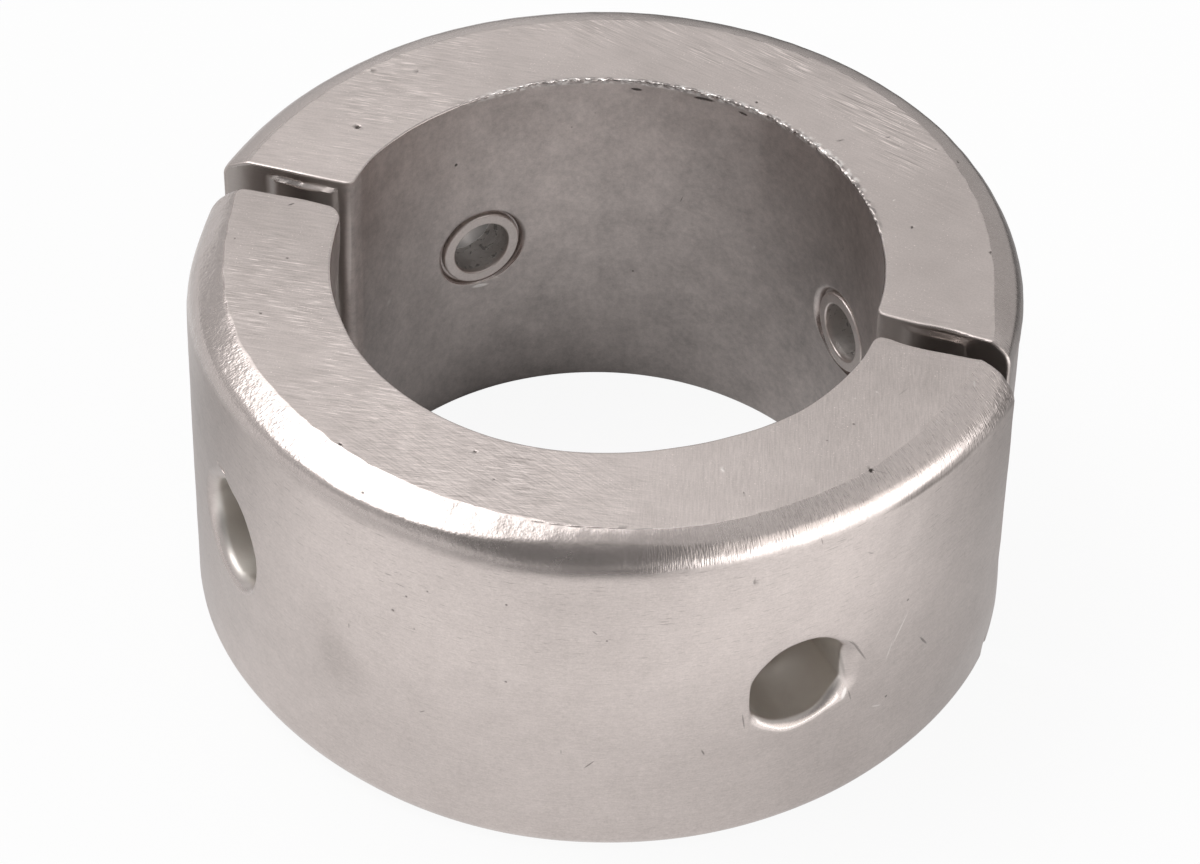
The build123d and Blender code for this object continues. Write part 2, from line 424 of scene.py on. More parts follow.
        crescent = 0.14 * smooth(apart(turned, 40), 50, 10) + 0.05 * smooth(apart(turned, 235), 55, 10)
        crescent = crescent + 0.03 * uneven
        floor = p["grooveRadius"] + crescent
        mouth = p["mouthRadius"] - 0.12 + 0.25 * cosPhi ** 2 + 1.25 * crescent
        rings.append(self.add(ringAt(floor, p["grooveAt"])))
        rim = np.sqrt(bore ** 2 - (mouth * cosPhi) ** 2)
        for out, depth in ((0.35, 0.5), (0.7, 0.17), (1, 0.03)):
            rings.append(self.add(ringAt(floor + (mouth - floor) * out, rim + (p["grooveAt"] - rim) * depth)))
        mouthRing = surfaceRing(mouth + 0.12, bore)
        rings.append(self.add(mouthRing))
        for share in (0.06, 0.15, 0.27, 0.42, 0.6, 0.8):
            rings.append(self.add(between(mouthRing, allPoints[innerRim], share, bore)))
        rings.append(innerRim)
        for one, two in zip(rings[:-1], rings[1:]):
            for n in range(len(phi)):
                after = (n + 1) % len(phi)
                self.faces.append((one[n], one[after], two[after], two[n]))

    def worldPoints(self):
        turn = math.radians(self.turn)
        cos, sin = math.cos(turn), math.sin(turn)
        x, y, z = np.concatenate(self.points).T
        return np.stack([cos * x - sin * y, sin * x + cos * y, z], 1)


def aroundBore(points):  # distance from the axis, azimuth, and the way outwards
    rho = np.hypot(points[:, 0], points[:, 1])
    azimuth = np.degrees(np.arctan2(points[:, 1], points[:, 0])) % 360
    return rho, azimuth, np.stack([points[:, 0] / rho, points[:, 1] / rho, np.zeros(len(rho))], 1)


def unevenness(points, normals):
    # Hand work and casting: how far each point moves, in millimetres
    rho, azimuth, outward = aroundBore(points)
    amount = (0.045 * slowWaves(points) + 0.012 * midWaves(points)) * (1 - np.abs(normals[:, 2]))
    filed = (rho > 37) & (points[:, 2] > 34) & (normals[:, 2] > 0.03) & (normals[:, 2] < 0.985)
    amount += filed * (0.01 * quickWaves(points) + 0.004 * fineWaves(points))
    walls = np.abs(normals[:, 2]) < 0.1
    amount += walls * 0.006 * quickWaves(points)
    drift = np.interp(azimuth, *zip(*boreDrift)) * smooth(rho, 36, 28.9) * smooth(points[:, 2], 27.5, 40)
    swollen = np.interp(azimuth, *zip(*swelling)) * smooth(rho, 40.5, 42.2) * smooth(points[:, 2], 40.5, 37)
    drift += swollen * (0.1 + 0.9 * smooth(points[:, 2], -1, 10))
    return normals * amount[:, None] + outward * drift[:, None]


def burr(points):
    # Ragged edge that the facing cut left round the rear of the bore
    rho, azimuth, outward = aroundBore(points)
    edge = np.hypot(rho - collar["boreRadius"], points[:, 2] - collar["height"])
    near = (1 - smooth(edge, 0.12, 0.55)) * (points[:, 1] > 3)
    strength = smooth(azimuth, 18, 45) * (1 - smooth(azimuth, 128, 150))
    ragged = 0.55 + 0.45 * burrWaves(points) + 0.3 * fineWaves(points)
    amount = 0.25 * near * strength * np.clip(ragged, 0, 1.6)
    return amount[:, None] * (np.array([0, 0, 0.75]) - 0.65 * outward)


# Pits, dashes and nicks by surface: azimuth, place (radius on the face, height on a wall), length, width,
# slant from the way round the collar, and depth; a cut-in mark is darkened as painted shade, and a depth below 0
# stands proud and gets a painted glint
marks = {
    "face": [
        (161, 32.8, 0.75, 0.55, 20, 0.3), (149, 38.5, 0.42, 0.3, 0, 0.12), (143, 35.6, 0.3, 0.3, 0, 0.08),
        (200.2, 32.5, 0.3, 0.28, 0, 0.08), (213.8, 35.6, 0.32, 0.28, 0, 0.08), (246.3, 38, 0.5, 0.34, 0, 0.14),
        (265.1, 31.2, 0.42, 0.34, 0, 0.12), (270.6, 34.3, 0.28, 0.24, 0, 0.08),
        (77.1, 29.8, 0.45, 0.28, 80, 0.12), (53.1, 35.5, 0.3, 0.3, 0, 0.05), (46.8, 38.6, 0.28, 0.26, 0, 0.05),
        (42.9, 39.8, 0.34, 0.28, 0, 0.1), (21.7, 38.9, 0.42, 0.32, 40, 0.12), (29, 31.8, 0.5, 0.26, 20, 0.12),
        (57.3, 31.1, 0.26, 0.24, 0, 0.06), (328.8, 39.75, 0.55, 0.5, 0, 0.22), (334, 33.9, 0.32, 0.3, 0, 0.08),
        (310.1, 36.4, 0.3, 0.28, 0, 0.08), (327.9, 33.85, 0.22, 0.2, 0, 0.05),
        (254.2, 40.95, 0.34, 0.34, 0, 0.14), (195.6, 37.7, 0.26, 0.24, 0, 0.06),
        (308.9, 32.8, 0.55, 0.32, 76, -0.05), (342.7, 32.5, 0.3, 0.26, 0, -0.04),
        (339, 31.3, 0.26, 0.2, 0, -0.03), (37.2, 31.2, 0.42, 0.2, 60, -0.05),
        (327.7, 37.45, 0.24, 0.2, 0, -0.03), (342.9, 39.8, 0.24, 0.2, 0, -0.03),
        (353.2, 40.2, 0.7, 0.24, -30, -0.05), (47, 30.3, 0.36, 0.16, 20, -0.03),
        (279.4, 38.88, 1.9, 0.13, 0, 0.06), (282, 38.98, 1.9, 0.13, 0, 0.05), (284.7, 39.04, 1.9, 0.13, 0, 0.06),
        (287.5, 39.08, 2, 0.12, 0, 0.04), (290.5, 39.15, 2.2, 0.11, 0, 0.03), (293.8, 39.28, 2.2, 0.1, 0, 0.02)],
    "wall": [
        (346.4, 23.5, 0.42, 0.36, 0, 0.12), (308.7, 35.6, 0.8, 0.3, -87, 0.04),
        (334.1, 23.7, 0.4, 0.34, 0, 0.04), (331.4, 11.3, 0.36, 0.3, 0, 0.06), (296.2, 12.9, 0.36, 0.32, 0, 0.08),
        (233.4, 33.5, 0.3, 0.3, 0, 0.08), (253.1, 32.1, 0.26, 0.26, 0, 0.06), (261.3, 33.7, 0.3, 0.24, 0, 0.06),
        (262.1, 31, 0.32, 0.26, 60, 0.08), (265.2, 32.7, 0.28, 0.26, 0, 0.06), (260, 28.3, 0.42, 0.4, 0, 0.12),
        (263.2, 26.9, 0.3, 0.28, 0, 0.06), (276.1, 33.6, 0.3, 0.24, 0, 0.06), (289.3, 29.9, 0.3, 0.24, 0, 0.06),
        (276.1, 23, 0.32, 0.26, 0, 0.06), (104, 27, 0.5, 0.3, 30, 0.1), (84, 14.5, 0.36, 0.34, 0, 0.08),
        (63, 31, 1.6, 0.2, 25, 0.07), (121, 9.5, 0.8, 0.2, -60, 0.07), (20.5, 25.5, 0.4, 0.36, 0, 0.1),
        (158, 30.5, 0.36, 0.3, 0, 0.08), (171, 12, 1.2, 0.2, 40, 0.07), (201, 9, 0.34, 0.3, 0, 0.07)],
    "bore": [
        (142.6, 33.9, 0.42, 0.36, 0, 0.12), (116.2, 35.5, 0.3, 0.26, 0, 0.07),
        (111.3, 37.3, 0.34, 0.28, 0, 0.08), (47.7, 31.7, 0.34, 0.28, 0, 0.08), (102.2, 15.4, 0.3, 0.26, 0, 0.06),
        (74.5, 23.2, 0.42, 0.2, 0, -0.03), (162.1, 20.3, 0.6, 0.16, 0, -0.03),
        (136.7, 15.8, 0.9, 0.32, 15, -0.05), (177.6, 24.4, 1.7, 0.3, 90, 0.1), (224, 30, 0.36, 0.3, 0, 0.08),
        (300, 17, 0.8, 0.18, 40, 0.06), (102.7, 40.75, 1.3, 0.3, 4, 0.1), (87.9, 41.1, 2.6, 0.34, -4, 0.12),
        (78.8, 40.8, 1.2, 0.3, 6, 0.1)],
}

# Fine scratches, in the finish only: azimuth, place, length, width, slant and how dark (below 0, a painted glint of
# that strength)
scratches = {
    "face": [
        (330.1, 40.35, 1.9, 0.16, 38, 0.25), (185.6, 33.1, 0.85, 0.24, 50, 0.8),
        (345.4, 34.9, 1.5, 0.2, 10, 0.2)],
    "wall": [
        (326.3, 33.8, 1.1, 0.16, -35, 0.4), (338.2, 15.8, 2.6, 0.3, -56, 0.6),
        (252.8, 23.2, 0.8, 0.16, -90, 0.5), (287.7, 31, 0.8, 0.2, -45, 0.5), (264.3, 15.7, 0.9, 0.16, 37, 0.5),
        (287.4, 12.4, 1.7, 0.2, 47, 0.6), (283.6, 14, 0.7, 0.14, -89, 0.4), (302.7, 13.1, 1, 0.24, -68, 0.6),
        (318.3, 38.3, 1.1, 0.14, -78, 0.5), (321.3, 37.4, 1.4, 0.12, -7, 0.35), (325.6, 20.6, 5, 0.26, -62, 0.5),
        (324.6, 21.9, 2.4, 0.2, -50, 0.45), (324.6, 14.6, 2, 0.2, -75, 0.4), (308.2, 16.4, 2.6, 0.2, -82, 0.5),
        (333, 20.2, 4.4, 0.24, 60, -0.4), (329.6, 10.8, 1.6, 0.24, -25, -0.4), (331.2, 18, 3, 0.24, 72, -0.3),
        (323.4, 19.6, 6, 0.5, -80, 0.35), (323.7, 15.2, 1.7, 0.5, 72, -0.8), (259.4, 33, 0.9, 0.14, 8, 0.5),
        (261.2, 32.2, 1.3, 0.13, -4, 0.5), (258.3, 31.7, 0.8, 0.12, 5, 0.4), (260.6, 33.7, 0.7, 0.12, 12, 0.4)],
    "bore": [
        (176.2, 33, 17, 0.5, 90, -0.45), (92, 26.7, 1, 0.15, -72, 0.5), (136.6, 15.7, 2.2, 0.5, 8, -0.95),
        (133, 16.3, 1.4, 0.2, 30, -0.3)],
}


def listed(table):  # rows of a table by surface, each with its surface in front
    return [(surface, *row) for surface, rows in table.items() for row in rows]


def spread(mark, points):  # place of points along and across a mark, and whether they are on its surface
    surface, azimuth, at, length, width, slant, depth = mark
    a, s = math.radians(azimuth), math.radians(slant)
    out = np.array([math.cos(a), math.sin(a), 0])
    around = np.array([-math.sin(a), math.cos(a), 0])
    if surface == "face":
        centre, second = out * at, out
        there = points[:, 2] > 36
    else:
        centre, second = out * collar[surface + "Radius"] + np.array([0, 0, at]), np.array([0, 0, 1])
        there = np.abs((points - centre) @ out) < 0.6
    u, v = (points - centre) @ around, (points - centre) @ second
    return u * math.cos(s) + v * math.sin(s), v * math.cos(s) - u * math.sin(s), there


def refine(work):  # finer mesh where the marks and the burr are
    points = np.array([v.co for v in work.verts]) / mm
    ends = np.array([[v.index for v in e.verts] for e in work.edges])
    chosen = np.zeros(len(ends), bool)
    for mark in listed(marks):
        along, across, there = spread(mark, points)
        near = there & (np.hypot(along / (mark[3] / 2 + 0.32), across / (mark[4] / 2 + 0.32)) < 1)
        chosen |= near[ends].all(1)
    work.edges.ensure_lookup_table()
    edges = [work.edges[int(n)] for n in np.flatnonzero(chosen)]
    bmesh.ops.subdivide_edges(work, edges=edges, cuts=3, use_grid_fill=True)
    rho, azimuth, outward = aroundBore(points)
    ragged = (rho < collar["boreRadius"] + 0.75) & (points[:, 2] > 41.2) & (azimuth > 20) & (azimuth < 150)
    work.verts.ensure_lookup_table()
    both = {work.verts[int(n)] for n in np.flatnonzero(ragged)}
    edges = [e for e in work.edges if e.verts[0] in both and e.verts[1] in both]
    bmesh.ops.subdivide_edges(work, edges=edges, cuts=1, use_grid_fill=True)


def engrave(points, normals):  # marks cut in or raised, and a tint for each point: dark as painted shade in the cut-in marks, bright as a painted glint on the raised ones
    tint = np.zeros(len(points))
    moved = points.copy()
    for mark in listed(marks):
        along, across, there = spread(mark, points)
        surface, length, width, depth = mark[0], mark[3], mark[4], mark[6]
        ratio = np.hypot(along / (length / 2), across / (width / 2))
        inside = there * (1 - smooth(ratio, 0.35, 1.1))
        moved -= normals * (inside * depth * 0.5)[:, None]
        strength = min(0.45 + 4 * depth, 1) if depth > 0 else max(-0.2 + 6 * depth, -0.7)
        if surface == "face" or length > 0.6 or depth < 0:  # the finish draws the rest
            tint += strength * there * (1 - smooth(ratio, 0.6, 1.15))
    return moved, np.clip(tint, -1, 1)


def buildCasting(name, turn, corners):
    casting = Casting(turn, corners)
    mesh = bpy.data.meshes.new(name)
    mesh.from_pydata((casting.worldPoints() * mm).tolist(), [], [tuple(int(n) for n in f) for f in casting.faces])
    work = bmesh.new()
    work.from_mesh(mesh)
    bmesh.ops.recalc_face_normals(work, faces=work.faces)
    refine(work)
    work.normal_update()
    points = np.array([v.co for v in work.verts]) / mm
    normals = np.array([v.normal for v in work.verts])
    moved, tint = engrave(points, normals)
    moved += burr(points) + unevenness(points, normals)
    layer = work.verts.layers.float.new("mark")
    for vertex, place, value in zip(work.verts, moved, tint):
        vertex.co = place * mm
        vertex[layer] = float(value)
    work.to_mesh(mesh)
    work.free()
    mesh.shade_smooth()
    mesh.set_sharp_from_angle(angle=math.radians(42))
    piece = bpy.data.objects.new(name, mesh)
    scene.collection.objects.link(piece)
    print(name, len(mesh.vertices), "points", sum(len(p.vertices) - 2 for p in mesh.polygons), "triangles")
    return piece


rearCasting = buildCasting("rear_casting", 0, ("rear_right", "rear_left"))
frontCasting = buildCasting("front_casting", 180, ("front_left", "front_right"))

for piece, node in ((rearCasting, "rear_half"), (frontCasting, "front_half")):
    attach(piece, "root")
    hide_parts(node)


class Wire:
    # A socket that can be used in sums
    def __init__(self, finish, socket):
        self.finish, self.socket = finish, socket

    def maths(self, operation, *others):
        return self.finish.node("Math", {"operation": operation}, dict(enumerate((self,) + others)))

    def __add__(self, other): return self.maths("ADD", other)
    def __radd__(self, other): return self.maths("ADD", other)
    def __sub__(self, other): return self.maths("SUBTRACT", other)
    def __mul__(self, other): return self.maths("MULTIPLY", other)
    def __rmul__(self, other): return self.maths("MULTIPLY", other)
    def __truediv__(self, other): return self.maths("DIVIDE", other)
    def __pow__(self, other): return self.maths("POWER", other)

    def __rsub__(self, other):
        return self.finish.node("Math", {"operation": "SUBTRACT"}, {0: other, 1: self})

    def step(self, low, high, most=1):  # 0 at low, most at high, soft between
        return self.finish.node("MapRange", {"interpolation_type": "SMOOTHSTEP"},
                                {"Value": self, "From Min": low, "From Max": high, "To Max": most})


class Finish:
    # The nodes of a material or a world
    def __init__(self, owner):
        owner.use_nodes = True
        self.nodes, self.links = owner.node_tree.nodes, owner.node_tree.links
        self.nodes.clear()

    def node(self, kind, settings=None, values=None, output=0):
        made = self.nodes.new("ShaderNode" + kind)
        for key, value in (settings or {}).items():
            setattr(made, key, value)
        for key, value in (values or {}).items():
            if isinstance(value, Wire):
                self.links.new(value.socket, made.inputs[key])
            else:
                made.inputs[key].default_value = value
        return Wire(self, made.outputs[output]) if len(made.outputs) else made

    def vector(self, operation, one, two=None, output="Value"):
        return self.node("VectorMath", {"operation": operation},
                         {0: one} if two is None else {0: one, 1: two}, output)

    def split(self, vector):
        made = self.node("SeparateXYZ", None, {0: vector}).socket.node
        return [Wire(self, socket) for socket in made.outputs]

    def join(self, x, y, z):
        return self.node("CombineXYZ", None, {0: x, 1: y, 2: z})

    def noise(self, vector, scale, detail=2, rough=0.5, distortion=0):
        return self.node("TexNoise", None, {"Vector": vector, "Scale": scale, "Detail": detail,
                                                      "Roughness": rough, "Distortion": distortion})

    def mix(self, share, one, two, blend="MIX"):  # of colours
        return self.node("Mix", {"data_type": "RGBA", "blend_type": blend}, {0: share, 6: one, 7: two}, 2)

    def inMm(self):  # place on the object in millimetres
        place = self.node("TexCoord", output="Object")
        return self.node("VectorMath", {"operation": "SCALE"}, {0: place, 3: 1000})

    def metal(self, tone, rough, height):  # the closing nodes of a bare metal; height is in millimetres
        bump = self.node("Bump", None, {"Strength": 1, "Distance": mm, "Height": height})
        shader = self.node("BsdfPrincipled", None, {
            "Base Color": tone, "Metallic": 1, "Roughness": rough, "Normal": bump})
        self.node("OutputMaterial", None, {"Surface": shader})


zincLook = {
    "dark": (0.3, 0.264, 0.248, 1),
    "light": (0.83, 0.742, 0.708, 1),
    "boreDark": (0.286, 0.259, 0.25, 1),
    "boreLight": (0.815, 0.728, 0.695, 1),
    # Pocket: painted light, a lighter tone in the pockets of the front half
    "pocket": (0.74, 0.705, 0.66, 1),
    "rearPocketShade": (0.3, 0.285, 0.275, 1),  # painted shade in the pockets of the rear half
    # Gap: painted shade on the ends where the halves meet
    "gap": (0.4, 0.365, 0.345, 1),
    # Smudges on the wall: azimuth, height, full within, gone beyond and how much darker
    "smudges": [(251, 17.4, 0.8, 5, 0.15), (248.4, 21.5, 0.5, 4.5, 0.06), (285, 31, 3, 9, 0.06)],
    # Dark for the scratches, and painted shade in the pits and in the line under the filed edge
    "darkForMarksAndShade": (0.09, 0.078, 0.072, 1),
    # Painted glint colour for the burr, the raised marks and the bright scratches
    "paintedGlint": (0.95, 0.9, 0.87, 1),
    "middle": 0.5,  # share of light in the plain metal
    "polishAndHighlight": 0.14,  # more of it on the filed edge, partly polish and partly a painted highlight
    "roughFace": 0.32,
    "roughEdge": 0.26,
    "roughWall": 0.36,
    "roughBore": 0.42,
    "roughPocket": 0.6,
    "streakDepth": 0.018,  # in millimetres, as the other depths are
    "strokeDepth": 0.0295,
    "facetDepth": 0.028,
    "castDepth": 0.0123,
}


def fineMarks(f, inMm, half):  # masks that the finish draws: dark scratches with painted shade in the small pits, and painted glints
    darkMarksAndPitShade = glintMarks = 0
    for surface, around, at, length, width, slant, strength in listed(scratches):
        out = Vector((cosine(around), cosine(around - 90), 0))
        if out.y * half < 0:
            continue
        side = Vector((-out.y, out.x, 0))
        if surface == "face":
            second, origin = out, out * at + Vector((0, 0, collar["height"]))
        else:
            second = Vector((0, 0, 1))
            origin = out * collar[surface + "Radius"] + second * at
        first = side * cosine(slant) + second * cosine(slant - 90)
        other = second * cosine(slant) - side * cosine(slant - 90)
        turned = Matrix((first, other, first.cross(other))).transposed()
        local = f.node("Mapping", {"vector_type": "TEXTURE"},
                       {"Vector": inMm, "Location": origin, "Rotation": turned.to_euler(),
                        "Scale": (length * 0.5, width * 0.5, 1.2)})
        line = f.vector("LENGTH", local).step(1.1, 0.5, abs(strength))
        if strength > 0:
            darkMarksAndPitShade = line.maths("MAXIMUM", darkMarksAndPitShade)
        else:
            glintMarks = line.maths("MAXIMUM", glintMarks)
    for surface, around, at, length, width, slant, depth in listed(marks):
        out = Vector((cosine(around), cosine(around - 90), 0))
        if surface != "face" and length <= 0.6 and depth > 0 and out.y * half > 0:
            origin = out * collar[surface + "Radius"] + Vector((0, 0, at))
            radius = (length + width) / 4
            away = f.vector("DISTANCE", inMm, origin)
            darkMarksAndPitShade = away.step(radius * 1.3, radius * 0.6, min(0.45 + 4 * depth, 1)).maths("MAXIMUM", darkMarksAndPitShade)
    return darkMarksAndPitShade, glintMarks


def makeZinc(name, half):  # half is 1 at the rear, -1 at the front
    material = bpy.data.materials.new(name)
    f = Finish(material)
    look = zincLook
    inMm = f.inMm()
    x, y, z = f.split(inMm)
    azimuth = y.maths("ARCTAN2", x)
    rho = (x * x + y * y) ** 0.5
    nz = f.split(f.node("NewGeometry", output="Normal"))[2]
    onTop = nz.step(0.95, 0.99)
    onEdge = nz.step(0.08, 0.25) * (1 - onTop)
    onWall = 1 - onTop - onEdge
    filed = onEdge * rho.step(36, 37) * z.step(32, 35) * (0.2 + y.step(8, -4) * 0.8)
    crumpled = filed * (0.3 + 0.7 * x.step(16, 4) + 0.9 * x.step(-14, -24))
    inBore = rho.step(29.6, 29) * (1 - onTop)
    inPocket = rho.step(29.6, 31) * rho.step(42.2, 41) * y.maths("ABSOLUTE").step(6, 9)
    inPocket = inPocket * z.step(9, 11) * z.step(33, 31)
    # Painted shade on the ends near the split, between the halves
    gapShade = y.maths("ABSOLUTE").step(3.4, 2.6) * rho.step(42.4, 41.8) * (1 - nz.step(0.3, 0.7))
    gapShade = gapShade * (rho + x.step(0, 9) * 1.2).step(28.9, 29.8)

    def drawn(u, v, seed, detail=1):  # noise over two lengths
        return f.noise(f.join(u, v, seed), 1, detail, 0.6) - 0.5

    def brushed(angle, length, width, seed):  # noise drawn out along an angle in plan
        cos, sin = math.cos(math.radians(angle)), math.sin(math.radians(angle))
        return drawn((x * cos + y * sin) * (1 / length), (y * cos - x * sin) * (1 / width), seed)

    # Upper face: brushed another way on the right of the front, and stronger round the rear
    outward = rho.step(31, 37)
    worn = f.noise(inMm, 0.13, 1).step(0.383, 0.64)
    if half > 0:
        part = rear = y.step(-3, 6) * x.step(-24, -8)
        rearStrength = rear * (1 - x.step(22, 32) * 0.85) * (0.25 + 0.75 * outward) * (0.45 + 0.75 * worn)
        soft = rearStrength * 0.82 * brushed(-14, 6, 0.34, 7.1)
        hairs = rearStrength * brushed(-17, 3.6, 0.15, 27.1)
    else:
        part, rear = (1 - y.step(-6, 2)) * x.step(4, 22), 0
        soft = part * 0.25 * brushed(-74, 2.5, 0.2, 3.7)
        hairs = part * 0.35 * brushed(-73, 1.6, 0.12, 33.7)
    restStrength = (1 - part) * (0.4 + 0.6 * worn)
    soft = soft + restStrength * 0.57 * brushed(5, 4.2, 0.34, 1.3)
    hairs = hairs + restStrength * 0.8 * brushed(8, 2.1, 0.15, 21.3)
    # Glints and specks: painted glints, lighter spots and lines in the colour of the face
    glints = hairs.step(0.09, 0.24)
    speckGlints = f.noise(inMm, 5.5, 1).step(0.67, 0.78) * f.noise(inMm, 0.35, 1).step(0.42, 0.58)

    # Walls: drawn out round the collar; rounded edge: short strokes across it and small facets
    radius = collar["wallRadius"]
    wallStreaks = drawn(azimuth * (radius / 3.6), z * (1 / 0.45), 5, 2)
    wallGrain = drawn(azimuth * (radius / 0.7), z * (1 / 0.17), 25)
    dashes = f.noise(f.join(azimuth * (radius / 1.7), z * (1 / 0.17), 15), 1, 1).step(0.64, 0.757)
    strokes = drawn(azimuth * (radius / 0.17), (z - rho) * (1 / 1.5), 9)
    cast = f.noise(inMm, 1.4, 2, 0.55) - 0.5
    cloud = (f.noise(inMm, 0.09, 2, 0.55) - 0.5) * 0.92
    blot = (f.noise(inMm, 0.3, 2, 0.6) - 0.5) * 0.9
    grain = f.noise(inMm, 5, 1, 0.7) - 0.5

    stroked = filed * (0.2 + x.step(12, 24) + 0.7 * x.step(22, 32) + 0.5 * x.step(-12, -20))
    height = onTop * hairs * look["streakDepth"] + stroked * strokes * look["strokeDepth"]
    height = height + (1 - onTop) * cast * look["castDepth"] + onWall * (1 - inBore) * wallGrain * 0.005
    shadeLine = frontStrokes = 0
    if half < 0:  # small facets on the edge, a painted shade line under its right, and strokes on the front of the face
        height = height + crumpled * (f.noise(inMm, 2.2, 1, 0.6) - 0.5) * look["facetDepth"]
        shadeLine = ((z - (y * -0.025 + 37.8)) / (y * 0.03 + 1.1)).maths("ABSOLUTE").step(1.1, 0.3)
        shadeLine = shadeLine * x.step(35.5, 38.5) * y.step(-0.6, -2) * (0.9 + strokes * 1.15)
        frontStrokes = y.step(-24, -31) * x.step(18, 4) * x.step(-22, -10)
        frontStrokes = frontStrokes * (brushed(-22, 2.4, 0.17, 41) + brushed(14, 2, 0.15, 47))

    darkMarksAndPitShade, glintMarks = fineMarks(f, inMm, half)
    # Plain share and grain, with painted light: the upper face lighter towards the front
    light = look["middle"] + (0 - y).step(0, 34) * onTop * 0.12 + grain * 0.28
    # Brushed streaks with painted glints on the face, and painted light on the rear of the face (rear * 0.04)
    streaks = soft * 0.7 + hairs + (glints + speckGlints) * 0.85
    light = light + onTop * (streaks - 0.03 + frontStrokes * 0.9 + rear * 0.04)
    drawnOut = wallStreaks * 0.144 + wallGrain * 0.28 - dashes * z.step(18, 30) * 0.3
    light = light + onWall * (1 - inBore * 0.75) * drawnOut
    for around, high, full, gone, darker in look["smudges"]:
        spot = (radius * cosine(around), radius * cosine(around - 90), high)
        light = light - f.vector("DISTANCE", inMm, spot).step(gone, full) * darker
    # Painted light and shade on the upper face: lighter at the rear left, darker at the front left and towards the
    # right
    faceLightAndShade = (1 - x.step(-26, -8)) * (y.step(-4, 6) * 0.16 - 0.06)
    light = light + onTop * (faceLightAndShade - x.step(18, 30) * 0.08)
    # Painted highlight on the filed edge towards the right, and painted shade on the outer wall near the right
    light = light + filed * x.step(8, 26) * 0.14 - onWall * (1 - inBore) * x.step(36, 42) * 0.1
    # Painted light on the lower left of the bore
    light = light + inBore * x.step(-17, -26) * z.step(20, 6) * 0.2
    light = light + inBore * (blot * 0.38 + cast * 0.335) + cloud * 0.18 + blot * 0.18 + onWall * cast * 0.123
    # Filed edge lighter, partly polish and partly painted highlight, and darker at the rear as painted shade
    light = light + onEdge * (look["polishAndHighlight"] - rear * 0.42) + stroked * strokes * 0.287 - shadeLine * 0.5
    tone = f.mix(light, look["dark"], look["light"])
    tone = f.mix(inBore, tone, f.mix(light, look["boreDark"], look["boreLight"]))
    # Painted shade: the dark line under the right of the filed edge
    tone = f.mix(shadeLine * 0.42, tone, look["darkForMarksAndShade"])
    # Painted shade in the pockets of the rear half, painted light in those of the front half
    tone = f.mix(inPocket * (0.9 + blot), tone, look["rearPocketShade"] if half > 0 else look["pocket"])
    tone = f.mix(gapShade * 0.75, tone, look["gap"])
    if half > 0:  # painted glints on the burr of the bore
        burrGlints = rho.step(29.15, 28.75) * z.step(41.2, 41.5) * y.step(17, 22)
        burrGlints = burrGlints * f.noise(inMm, 1.3).step(0.42, 0.6)
        tone = f.mix(burrGlints * 0.8, tone, look["paintedGlint"])
    mark = f.node("Attribute", {"attribute_name": "mark"}, output="Fac")
    # Painted shade in the cut-in marks, then dark scratches with painted shade in the small pits
    tone = f.mix(mark.maths("MAXIMUM", 0), tone, look["darkForMarksAndShade"])
    tone = f.mix(darkMarksAndPitShade, tone, look["darkForMarksAndShade"])
    # Painted glints on the raised marks and the bright scratches
    tone = f.mix((0 - mark).maths("MAXIMUM", glintMarks), tone, look["paintedGlint"])
    rough = onTop * look["roughFace"] + onEdge * look["roughEdge"]
    rough = rough + onWall * (look["roughWall"] + inBore * (look["roughBore"] - look["roughWall"]))
    rough = rough + cloud * 0.08 + cast * 0.044 + inPocket * (look["roughPocket"] - look["roughWall"])
    rough = rough + y.maths("ABSOLUTE").step(4.6, 3.2) * rho.step(34, 31) * (1 - onTop) * 0.25
    rough = rough + filed * x.step(20, 32) * (0.05 + strokes * 0.287)
    f.metal(tone, rough, height)
    return material


rearCasting.data.materials.append(makeZinc("cast_zinc_rear", 1))
frontCasting.data.materials.append(makeZinc("cast_zinc_front", -1))


steelLook = {
    "dark": (0.55, 0.49, 0.465, 1),
    "light": (0.88, 0.8, 0.765, 1),
    # Inside: painted shade in the bush's hole
    "inside": (0.52, 0.495, 0.475, 1),
    "flaw": (0.22, 0.21, 0.2, 1),
}


def makeSteel(name):
    material = bpy.data.materials.new(name)
    f = Finish(material)
    inMm = f.inMm()
    grain, blot = f.noise(inMm, 4, 3), f.noise(inMm, 0.8, 2)
    x, y, z = f.split(inMm)
    inside = ((x * x + y * y) ** 0.5).step(collar["boreRadius"], collar["boreRadius"] + 0.8)
    tone = f.mix(grain * 0.6 + blot * 0.4, steelLook["dark"], steelLook["light"])
    flaw = f.noise(inMm, 0.9, 3, 0.6, 1.2).step(0.56, 0.63) * inside
    # Painted shade inside the bush's hole
    tone = f.mix(inside * (0.5 + grain * 0.5), tone, steelLook["inside"])
    tone = f.mix(flaw * 0.6, tone, steelLook["flaw"])
    height = grain * 0.006 + inside * (blot * 0.12 + flaw * -0.08)
    f.metal(tone, 0.4 + blot * 0.08 + inside * 0.15, height)
    return material


steel = makeSteel("bush_steel_finish")
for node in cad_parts.values():
    if node.name.startswith("bush_"):
        node.data.materials.clear()
        node.data.materials.append(steel)


